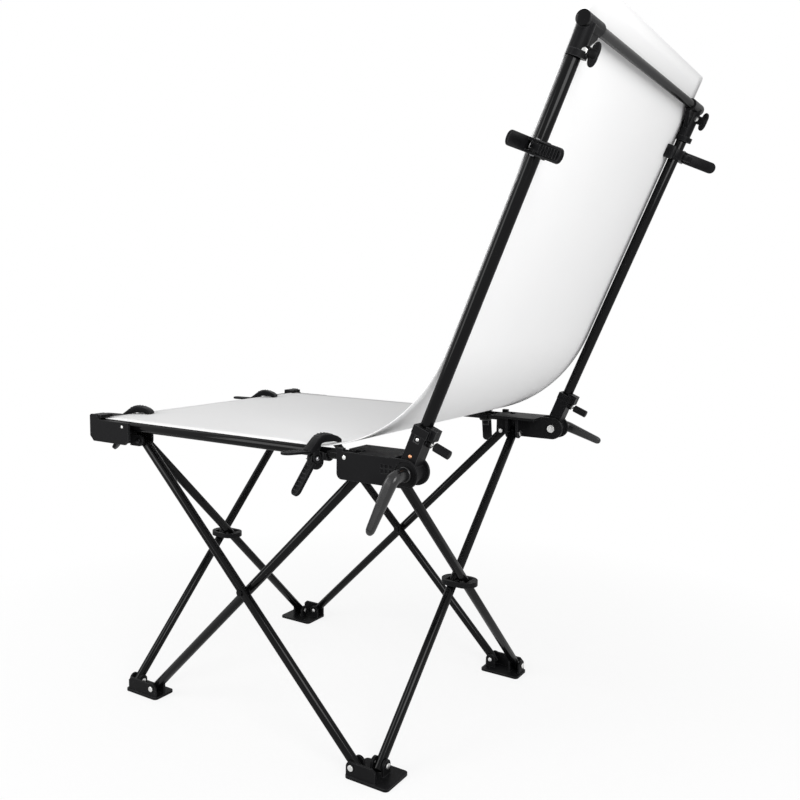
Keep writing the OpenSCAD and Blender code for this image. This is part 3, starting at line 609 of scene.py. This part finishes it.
for side, name in ((1, "right"), (-1, "left")):
    node = name + "_wing_knob"
    grip = bmesh.new()
    add(grip, wing(), at_knob[side])
    set_piece(name + "_wing_grip", grip, plug_plastic, "black_plastic", node, node)
    shank = bmesh.new()
    add(shank, turned([(0.0, 0.0105), (0.0028, 0.0105), (0.0028, 0.0186), (0.0, 0.0186)], steps=20),
        at_knob[side] @ to_y)
    set_piece(name + "_wing_shank", shank, zinc, "zinc_steel", node)


# Sweep sheet: one piece of matt white plastic cut to 600 by 1380 mm, 1.5 mm thick. It lies on
# the rails, curves up in one free bend and leans on the crossbar, held only by the clips.
def matt_white(name):
    """Matt white sheet: a very fine pressed grain and faint cloudy gloss."""
    material, wire, shader, place = new_finish(name)
    grain = noise(wire, place, scale=900.0, detail=2.0)
    cloud = noise(wire, place, scale=3.5, detail=4.0, roughness=0.55)
    colour_mix(wire, cloud, (0.80, 0.80, 0.803), (0.84, 0.84, 0.84)).into(shader.inputs["Base Color"])
    (0.7 + (cloud - 0.5) * 0.14).into(shader.inputs["Roughness"])
    relief(wire, shader, grain, strength=0.06, depth=0.0002)
    shader.inputs["Specular IOR Level"].default_value = 0.35
    return material


def run_on(shape, edges, vec, steps):
    """Extrudes a row of edges in equal steps and gives the last row."""
    for _ in range(steps):
        made = bmesh.ops.extrude_edge_only(shape, edges=edges)["geom"]
        fresh = only(bmesh.types.BMVert, made)
        bmesh.ops.translate(shape, vec=vec / steps, verts=fresh)
        edges = [e for e in only(bmesh.types.BMEdge, made) if set(e.verts) <= set(fresh)]
    return edges


def round_corners(shape, corners, rounding, steps):
    """Rounds corners of a flat face."""
    bmesh.ops.bevel(shape, geom=corners, offset=rounding, offset_type="OFFSET", affect="VERTICES",
                    segments=steps, profile=0.5, material=-1)


sheet_w, sheet_l, sheet_t, sweep_r = 0.6, 1.38, 0.0015, 0.285
columns, table_rows, bend_rows, back_rows = 24, 24, 40, 26
table_low, table_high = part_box("sheet_table_half")
sheet_z = table_low.z + sheet_t / 2
bend = math.pi / 2 - lean
front_edge = table_low.y
bend_y = table_high.y - (sweep_r + sheet_t / 2) * math.sin(bend / 2)
back_run = sheet_l - (bend_y - front_edge) - sweep_r * bend
sweep = bmesh.new()
row = [sweep.verts.new((sheet_w * (i / columns - 0.5), front_edge, sheet_z)) for i in range(columns + 1)]
edges = [sweep.edges.new(pair) for pair in zip(row, row[1:])]
edges = run_on(sweep, edges, Vector((0.0, bend_y - front_edge, 0.0)), table_rows)
spun = bmesh.ops.spin(
    sweep, geom=edges + list({v for e in edges for v in e.verts}), cent=(0.0, bend_y, sheet_z + sweep_r),
    axis=(1.0, 0.0, 0.0), angle=bend, steps=bend_rows)["geom_last"]
bmesh.ops.remove_doubles(sweep, verts=sweep.verts, dist=1e-6)
edges = [e for e in only(bmesh.types.BMEdge, spun) if e.is_valid]
run_on(sweep, edges, Vector((0.0, math.cos(bend), math.sin(bend))) * back_run, back_rows)
bmesh.ops.remove_doubles(sweep, verts=sweep.verts, dist=1e-6)
bmesh.ops.recalc_face_normals(sweep, faces=sweep.faces)
round_corners(sweep, [v for v in sweep.verts if len(v.link_edges) == 2], rounding=0.008, steps=5)
sheet_white = matt_white("sheet_white")
sheet = set_piece(
    "sweep_sheet", sweep, sheet_white, "white_sheet", None, "sheet_table_half", "sheet_back_half")
thick = sheet.modifiers.new("sheet_thickness", "SOLIDIFY")
thick.thickness = sheet_t
thick.offset = 0.0
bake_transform(sheet)


# Spring clips: six two-part clips in black plastic. The fixed half cradles a tube, the hooked
# jaw reaches over the sheet's edge, and a coil spring on a steel pin closes them.
clip_w, clip_out, clip_drop = 0.021, 0.0135, 0.007
jaw_l, jaw_tip, handle_l, handle_turn = 0.062, 0.048, 0.07, math.radians(57)
ear_r, ear_in, lug_r, lug_in, lug_out = 0.0079, 0.0062, 0.0092, 0.0033, 0.0058
drum_r, drum_w, drum_at = 0.0132, 0.0116, (0.002, 0.0, -0.0062)
spring_wire = plated_steel("spring_wire", colour=(0.34, 0.34, 0.35))
clip_plastic = moulded_plastic(
    "clip_plastic", dark=(0.0055, 0.0055, 0.006), pale=(0.1, 0.1, 0.104), sheen=0.34)


def block_of(low, high):
    """A plain bar between two corners, its edges rounded."""
    shape = bmesh.new()
    bmesh.ops.create_cube(shape, size=1.0)
    low, high = Vector(low), Vector(high)
    bmesh.ops.scale(shape, vec=high - low, verts=shape.verts)
    bmesh.ops.translate(shape, vec=(low + high) / 2, verts=shape.verts)
    round_edges(shape, shape.edges[:], rounding=min(high - low) * 0.22, steps=2)
    return shape


def disc(radius, depth, rounding=0.0, segments=28):
    """A round boss along z, its rims rounded or left square."""
    shape = bmesh.new()
    bmesh.ops.create_cone(
        shape, cap_ends=True, segments=segments, radius1=radius, radius2=radius, depth=depth)
    if rounding:
        round_edges(shape, creases(shape), rounding, 2)
    return shape


def slab(outline, low, high, rounding):
    """An outline in x and z pulled out along y and rounded on every sharp edge."""
    shape = bmesh.new()
    face = shape.faces.new([shape.verts.new((x, low, z)) for x, z in outline])
    pull(shape, [face], (0.0, high - low, 0.0))
    round_edges(shape, creases(shape, 0.3), rounding, 3, clamp=True)
    return shape


def tongue(length, start, low, high, ribs):
    """A handle along -x with a round end, a raised rim and ribs in its recess."""
    half, sunk = clip_w / 2, (high - low) * 0.4
    rib, rib_side, first_rib, last_rib = 0.0008, half - 0.004, 0.009, 0.007
    shape = bmesh.new()
    face = shape.faces.new([shape.verts.new(p) for p in (
        (-length, -half, low), (-start, -half, low), (-start, half, low), (-length, half, low))])
    round_corners(shape, [v for v in face.verts if v.co.x < -length * 0.99], rounding=half * 0.96, steps=9)
    pull(shape, shape.faces[:], (0.0, 0.0, high - low))
    round_edges(shape, creases(shape), rounding=0.0007, steps=2, clamp=True)
    top = [f for f in shape.faces if f.normal.z > 0.99 and f.calc_area() > 2e-4]
    bmesh.ops.inset_individual(shape, faces=top, thickness=0.0016, depth=0.0)
    bmesh.ops.inset_individual(shape, faces=top, thickness=0.0005, depth=-sunk)
    for i in range(ribs):
        x = -length + first_rib + (length - start - first_rib - last_rib) * i / (ribs - 1)
        add(shape, block_of((x - rib, -rib_side, high - sunk - 0.0006), (x + rib, rib_side, high - 0.0001)))
    return shape


def clip_jaw(gap):
    """The moving half about its pin: hooked jaw, ribbed bow, side ears and handle."""
    half = clip_w / 2
    shape = slab([
        (-0.016, 0.0098), (-0.016, 0.0148), (-0.006, gap * 0.55 + 0.012), (0.002, gap + 0.010),
        (0.010, gap + 0.0146), (0.021, gap + 0.0156), (0.032, gap + 0.0138), (0.040, gap + 0.0108),
        (jaw_tip - 0.002, gap + 0.0068), (jaw_tip, gap + 0.002), (jaw_tip - 0.001, gap),
        (jaw_tip - 0.008, gap), (jaw_tip - 0.011, gap + 0.0025), (0.014, gap + 0.0025),
        (0.0078, gap + 0.0006), (0.004, 0.0104)], -half, half, rounding=0.0012)
    rib, rib_side = 0.0011, half - 0.0016
    for x, up in ((0.0055, 0.0128), (0.0115, 0.0153), (0.0175, 0.016), (0.0235, 0.0158), (0.0295, 0.0146)):
        z = gap + up
        add(shape, block_of((x - rib, -rib_side, z - 0.003), (x + rib, rib_side, z + 0.0005)))
    tooth = 0.0012
    for y in (-0.0075, -0.0025, 0.0025, 0.0075):
        add(shape, block_of((jaw_tip - 0.006, y - tooth, gap + 0.0004),
                            (jaw_tip + 0.0006, y + tooth, gap + 0.005)))
    for s in (-1, 1):
        add(shape, disc(ear_r, half - ear_in, rounding=0.0008),
            Matrix.Translation((0.0, s * (half + ear_in) / 2, 0.0)) @ to_y)
        low, high = sorted((s * ear_in, s * half))
        add(shape, block_of((-0.007, low, 0.0), (0.005, high, 0.0125)))
    add(shape, tongue(jaw_l, start=0.012, low=0.0091, high=0.0135, ribs=9), Matrix.Rotation(0.03, 4, "Y"))
    return shape


def clip_base(tube_r, tube_way, tube_up, pad_z):
    """The fixed half about its pin: cradle round the tube, lugs, handle and perhaps a claw."""
    half, arc, run_gap, wall = clip_w / 2 - 0.0008, math.pi * 1.06, 0.00005, 0.0048
    inner, outer = tube_r + run_gap, tube_r + wall
    cradle = bmesh.new()
    profile = [cradle.verts.new(p) for p in (
        (inner, 0, -half), (outer, 0, -half), (outer, 0, half), (inner, 0, half))]
    edges = [cradle.edges.new((profile[i], profile[(i + 1) % 4])) for i in range(4)]
    bmesh.ops.spin(cradle, geom=profile + edges, cent=(0, 0, 0), axis=(0, 0, 1), angle=arc, steps=28)
    bmesh.ops.holes_fill(cradle, edges=[e for e in cradle.edges if e.is_boundary], sides=4)
    bmesh.ops.recalc_face_normals(cradle, faces=cradle.faces)
    round_edges(cradle, creases(cradle), rounding=0.0008, steps=2, clamp=True)
    shape = bmesh.new()
    cup = Matrix((tube_way.cross(tube_up), -tube_up, tube_way)).transposed().to_4x4()
    cup.translation = (clip_out + tube_r, 0.0, clip_drop)
    add(shape, cradle, cup @ Matrix.Rotation((math.pi - arc) / 2, 4, "Z"))
    down = Matrix.Rotation(-handle_turn, 4, "Y")
    for s in (-1, 1):
        add(shape, disc(lug_r, lug_out - lug_in),
            Matrix.Translation((0.0, s * (lug_in + lug_out) / 2, 0.0)) @ to_y)
        low, high = sorted((s * lug_in, s * lug_out))
        add(shape, block_of((0.0, low, -0.006), (clip_out + 0.001, high, 0.004)))
        add(shape, block_of((-0.0165, low, -0.003), (-0.002, high, 0.003)), down)
    add(shape, block_of((clip_out - 0.0042, -half, -0.003), (clip_out - 0.0002, half, clip_drop + 0.0028)))
    add(shape, disc(drum_r, drum_w, rounding=0.001, segments=40), Matrix.Translation(drum_at) @ to_y)
    add(shape, tongue(handle_l, start=0.0086, low=-0.0025, high=0.0038, ribs=7), down)
    if pad_z:
        reach, under = clip_out + 2 * tube_r, clip_drop - 0.004
        finger, wide = half - 0.003, clip_w / 2 + 0.002
        add(shape, block_of((reach + 0.001, -finger, under), (jaw_tip + 0.001, finger, clip_drop)))
        add(shape, block_of((jaw_tip - 0.001, -wide, under), (jaw_tip + 0.008, wide, pad_z)))
    return shape


def clip_spring():
    """Pin with domed ends, and the wire coil whose legs push the handles apart."""
    wire_r, coil_r, coil_l, coils, steps = 0.0008, 0.0044, 0.0052, 3.25, 78
    shape = bmesh.new()
    made = bmesh.ops.create_circle(shape, cap_ends=False, segments=8, radius=wire_r,
                                   matrix=Matrix.Translation((coil_r, -coil_l / 2, 0.0)))["verts"]
    start = list({e for v in made for e in v.link_edges})
    spun = bmesh.ops.spin(
        shape, geom=start + made, cent=(0, 0, 0), axis=(0, 1, 0), dvec=(0.0, coil_l / steps, 0.0),
        angle=2 * math.pi * coils, steps=steps)["geom_last"]
    last = only(bmesh.types.BMEdge, spun)
    for end, leg in ((last, (-0.014, 0.0, 0.004)), (start, (-0.011, 0.0, -0.012))):
        made = bmesh.ops.extrude_edge_only(shape, edges=end)["geom"]
        bmesh.ops.translate(shape, vec=leg, verts=only(bmesh.types.BMVert, made))
    bmesh.ops.holes_fill(shape, edges=[e for e in shape.edges if e.is_boundary], sides=12)
    bmesh.ops.recalc_face_normals(shape, faces=shape.faces)
    reach = clip_w / 2 + 0.0003
    dome = [(0.0, 0.0016), (0.0018, 0.0014), (0.003, 0.0007), (0.0034, 0.0), (0.002, -0.0002)]
    pin = [(r, reach + z) for r, z in dome] + [(r, -reach - z) for r, z in reversed(dome)]
    add(shape, turned(pin), to_y)
    return shape


turns = {j["name"]: Vector(j["axis"]) for j in frame["joints"]}
out_of_back = Vector((0.0, math.cos(lean), -math.sin(lean)))
up_back = Vector((0.0, math.sin(lean), math.cos(lean)))
rail_r, upright_r, rest_gap, post_face = 0.009, 0.010, 0.0003, 0.0133
rail_grip = clip_drop + rail_r + 2 * rest_gap + sheet_t
post_grip = clip_drop + post_face + sheet_t / 2 + rest_gap
clip_y, clip_yaw, bend_from = 0.2, math.radians(20), 0.1656
into_bend = max(0.0, clip_y + (jaw_tip - clip_out - rail_r) * math.sin(clip_yaw) + clip_w / 2 - bend_from)
side_grip = rail_grip + sweep_r - math.sqrt(sweep_r ** 2 - into_bend ** 2)
to_side, to_rear = Vector((1.0, 0.0, 0.0)), Vector((0.0, 1.0, 0.0))
front_bases = bmesh.new()
front_springs = bmesh.new()
for clip, body, tube_way, tube_r, grip in (
    ("right_rail_clip", "right_rail", to_rear, rail_r, side_grip),
    ("left_rail_clip", "left_rail", to_rear, rail_r, side_grip),
    ("front_right_clip", "front_rail", to_side, rail_r, rail_grip),
    ("front_left_clip", "front_rail", to_side, rail_r, rail_grip),
    ("right_upright_clip", "right_upright", up_back, upright_r, post_grip),
    ("left_upright_clip", "left_upright", up_back, upright_r, post_grip),
):
    jaw_body = clip.replace("clip", "jaw")
    joint = jaw_body + "_open"
    on_upright = "upright" in clip
    pin_way = -turns[joint]
    above = -out_of_back if on_upright else Vector((0.0, 0.0, 1.0))
    seat = Matrix((pin_way.cross(above), pin_way, above)).transposed().to_4x4()
    seat.translation = pivots[joint]
    local = seat.to_3x3().inverted()
    jaw = bmesh.new()
    add(jaw, clip_jaw(grip), seat)
    set_piece(clip + "_hook", jaw, clip_plastic, "black_plastic", jaw_body, clip + "_jaw")
    pad_z = post_grip - sheet_t - 2 * rest_gap if on_upright else 0.0
    base = clip_base(tube_r, (local @ tube_way).normalized(), (local @ above).normalized(), pad_z)
    if clip.startswith("front"):
        add(front_bases, base, seat)
        add(front_springs, clip_spring(), seat)
        continue
    fixed = bmesh.new()
    add(fixed, base, seat)
    set_piece(clip + "_cradle", fixed, clip_plastic, "black_plastic", body, clip)
    coil = bmesh.new()
    add(coil, clip_spring(), seat)
    set_piece(clip + "_spring", coil, spring_wire, "zinc_steel", body, clip + "_pin")
set_piece("front_clip_cradles", front_bases, clip_plastic, "black_plastic", "front_rail", "front_clips")
set_piece("front_clip_springs", front_springs, spring_wire, "zinc_steel", "front_rail", "front_clip_pins")


# Studio: a white floor that keeps a faint shadow, a white surround, three soft lights and
# the camera behind the table's right side, as the photograph was taken.
def shown(wire):
    """One where something is seen, straight or reflected, and nought where it gives light."""
    seen = wire.math("MAXIMUM", wire.make("ShaderNodeLightPath", out="Is Camera Ray"),
                     wire.make("ShaderNodeLightPath", out="Is Glossy Ray"))
    return wire.math("MAXIMUM", seen, wire.make("ShaderNodeLightPath", out="Is Transmission Ray"))


scene = bpy.context.scene
white, floor_drop, floor_half = (1.0, 1.0, 1.0, 1.0), 0.0005, 14.0
shadow_near, shadow_far, shadow_share = 0.5, 1.3, 0.82
floor_shape = bmesh.new()
bmesh.ops.create_grid(floor_shape, x_segments=1, y_segments=1, size=floor_half)
floor_mesh = bpy.data.meshes.new("floor")
floor_shape.to_mesh(floor_mesh)
floor_shape.free()
floor = bpy.data.objects.new("floor", floor_mesh)
scene.collection.objects.link(floor)
floor.location.z = -floor_drop
paper, wire, shader, place = new_finish("floor_paper")
shader.inputs["Base Color"].default_value = (0.9, 0.9, 0.9, 1.0)
shader.inputs["Roughness"].default_value = 0.9
glow = wire.make("ShaderNodeEmission", sockets={"Color": white, "Strength": 1.0})
away = wire.make("ShaderNodeVectorMath", {"operation": "LENGTH"}, {0: place}, out="Value")
seen = shown(wire) * ramp(
    wire, away, start=shadow_near, end=shadow_far, low=shadow_share, high=1.0)
lit = Wire(wire.tree, shader.outputs[0])
mixed = wire.make("ShaderNodeMixShader", sockets={0: seen, 1: lit, 2: glow})
mixed.into(paper.node_tree.nodes["Material Output"].inputs["Surface"])
floor_mesh.materials.append(paper)

scene.view_settings.view_transform = "Standard"
world = bpy.data.worlds.new("surround")
scene.world = world
world.use_nodes = True
air = Wire(world.node_tree)
back = world.node_tree.nodes["Background"]
back.inputs["Color"].default_value = white
room_light = 0.45
(room_light + shown(air) * (1.0 - room_light)).into(back.inputs["Strength"])


def soft_light(name, place, target, size, power):
    """A broad soft lamp that faces a point."""
    lamp = bpy.data.lights.new(name, "AREA")
    lamp.shape = "RECTANGLE"
    lamp.size, lamp.size_y = size
    lamp.energy = power
    stand = bpy.data.objects.new(name, lamp)
    scene.collection.objects.link(stand)
    stand.matrix_world = along(place, Vector(place) - Vector(target))


soft_light("rear_light", (1.25, 1.6, 1.4), target=(0.05, 0.42, 1.05), size=(1.1, 1.1), power=31.0)
soft_light("side_light", (2.3, -1.5, 1.4), target=(0.0, 0.0, 0.5), size=(1.2, 2.0), power=42.0)
soft_light("front_light", (-0.4, -1.7, 2.6), target=(0.0, -0.2, 0.57), size=(2.0, 1.4), power=7.0)

sensor, focal_px, picture_px = 36.0, 866.5, 800.0
camera = bpy.data.cameras.new("camera")
camera.sensor_width = sensor
camera.lens = sensor * focal_px / picture_px
camera.clip_end = 60.0
viewer = bpy.data.objects.new("camera", camera)
scene.collection.objects.link(viewer)
yaw, pitch, roll = (math.radians(a) for a in (31.79, 6.71, 0.914))
ahead = Vector((-math.cos(yaw) * math.cos(pitch), -math.sin(yaw) * math.cos(pitch), -math.sin(pitch)))
right = Vector((-math.sin(yaw), math.cos(yaw), 0.0))
over = right.cross(ahead)
picture_right = math.cos(roll) * right + math.sin(roll) * over
picture_up = math.cos(roll) * over - math.sin(roll) * right
viewer.matrix_world = Matrix((picture_right, picture_up, -ahead)).transposed().to_4x4()
viewer.location = (1.4354, 0.93047, 0.8155)
scene.camera = viewer
